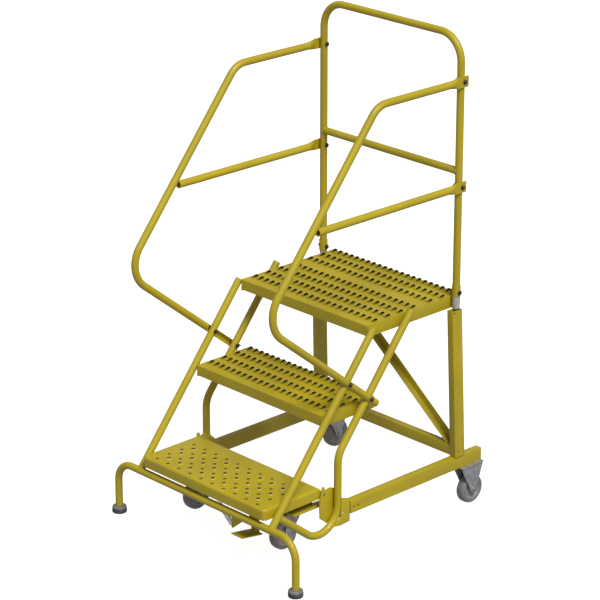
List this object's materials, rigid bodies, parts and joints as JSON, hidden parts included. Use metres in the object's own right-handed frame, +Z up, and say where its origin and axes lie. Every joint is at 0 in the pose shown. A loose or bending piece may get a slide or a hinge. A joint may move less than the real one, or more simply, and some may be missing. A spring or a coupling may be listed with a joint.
{
  "type": "mobile ladder stand",
  "caption": "Rolling ladder stand with perforated treads, a standing platform, tubular guard rail and handrails, leg feet in front, fixed casters behind and a hinged swivel-caster frame.",
  "frame": {"origin": "on the floor, at the centre of the outline seen from above", "axes": "+X to the user's right when facing the steps, +Y from the steps towards the back guard rail, +Z up"},
  "size_m": [0.9154, 0.993, 1.6627],
  "materials": {
    "yellow_paint": "semi-gloss yellow powder coat",
    "zinc": "zinc-plated steel",
    "dark_bolt": "black-oxide steel",
    "caster_steel": "zinc-plated pressed steel",
    "wheel_tyre": "grey moulded rubber tread",
    "wheel_hub": "grey moulded hub",
    "foot_rubber": "dark grey rubber",
    "foot_collar": "light grey collar"
  },
  "bodies": {
    "base": {"foot_cup_left": "foot_collar", "foot_cup_right": "foot_collar", "foot_pad_left": "foot_rubber", "foot_pad_right": "foot_rubber", "frame_hinge_rod": "zinc", "front_legs": "yellow_paint", "front_stringer_left": "yellow_paint", "front_stringer_right": "yellow_paint", "guard_mid_rail": "yellow_paint", "guard_rail": "yellow_paint", "guard_stub_bolts": "dark_bolt", "guard_stubs": "zinc", "guard_tab_bolts": "dark_bolt", "handrail_bolts": "dark_bolt", "handrail_left": "yellow_paint", "handrail_mid_left": "yellow_paint", "handrail_mid_right": "yellow_paint", "handrail_right": "yellow_paint", "middle_ends": "yellow_paint", "middle_tread": "yellow_paint", "pivot_plate_left": "yellow_paint", "pivot_plate_right": "yellow_paint", "platform_ends": "yellow_paint", "platform_front_plank": "yellow_paint", "platform_rear_plank": "yellow_paint", "rail_plates": "yellow_paint", "rear_axles": "zinc", "rear_brace": "yellow_paint", "rear_cross_rail": "yellow_paint", "rear_fork_left": "caster_steel", "rear_fork_right": "caster_steel", "rear_post_left": "yellow_paint", "rear_post_right": "yellow_paint", "rear_stringer_left": "yellow_paint", "rear_stringer_right": "yellow_paint", "side_rail_left": "yellow_paint", "side_rail_right": "yellow_paint", "spring_lug": "yellow_paint", "tread_hinge_pins": "zinc", "tread_spring": "zinc"},
    "tread": {"bottom_tread": "yellow_paint"},
    "caster_frame_body": {"caster_frame": "yellow_paint", "swivel_races": "caster_steel", "caster_kingpins": "zinc", "pedal_pin": "zinc"},
    "pedal": {"release_pedal": "yellow_paint"},
    "swivel_right": {"front_fork_right": "caster_steel", "front_wheel_right_axle": "zinc"},
    "front_wheel_right": {"front_wheel_right_tyre": "wheel_tyre", "front_wheel_right_hub": "wheel_hub"},
    "rear_wheel_right": {"rear_wheel_right_tyre": "wheel_tyre", "rear_wheel_right_hub": "wheel_hub"},
    "swivel_left": {"front_fork_left": "caster_steel", "front_wheel_left_axle": "zinc"},
    "front_wheel_left": {"front_wheel_left_tyre": "wheel_tyre", "front_wheel_left_hub": "wheel_hub"},
    "rear_wheel_left": {"rear_wheel_left_tyre": "wheel_tyre", "rear_wheel_left_hub": "wheel_hub"}
  },
  "joints": [
    {"name": "tread_tilt", "type": "hinge", "parent": "base", "child": "tread", "pos_m": [0, -0.224, 0.23], "axis": [1, 0, 0], "range_deg": [0, 2.4], "stiffness_Nm_per_rad": 400, "springref_deg": -3.44},
    {"name": "caster_frame_drop", "type": "hinge", "parent": "base", "child": "caster_frame_body", "pos_m": [0, -0.16, 0.19], "axis": [1, 0, 0], "range_deg": [0, 16], "stiffness_Nm_per_rad": 60, "springref_deg": -25.78},
    {"name": "pedal_press", "type": "hinge", "parent": "caster_frame_body", "child": "pedal", "pos_m": [0.164, -0.398, 0.163], "axis": [1, 0, 0], "range_deg": [0, 10], "stiffness_Nm_per_rad": 2, "springref_deg": -22.92},
    {"name": "caster_swivel_right", "type": "hinge", "parent": "caster_frame_body", "child": "swivel_right", "pos_m": [0.212, -0.284, 0.16], "axis": [0, 0, 1], "continuous": true},
    {"name": "front_wheel_spin_right", "type": "hinge", "parent": "swivel_right", "child": "front_wheel_right", "pos_m": [0.212, -0.319, 0.091], "axis": [1, 0, 0], "continuous": true},
    {"name": "rear_wheel_spin_right", "type": "hinge", "parent": "base", "child": "rear_wheel_right", "pos_m": [0.327, 0.4457, 0.0508], "axis": [1, 0, 0], "continuous": true},
    {"name": "caster_swivel_left", "type": "hinge", "parent": "caster_frame_body", "child": "swivel_left", "pos_m": [-0.212, -0.284, 0.16], "axis": [0, 0, 1], "continuous": true},
    {"name": "front_wheel_spin_left", "type": "hinge", "parent": "swivel_left", "child": "front_wheel_left", "pos_m": [-0.212, -0.319, 0.091], "axis": [1, 0, 0], "continuous": true},
    {"name": "rear_wheel_spin_left", "type": "hinge", "parent": "base", "child": "rear_wheel_left", "pos_m": [-0.327, 0.4457, 0.0508], "axis": [1, 0, 0], "continuous": true}
  ]
}
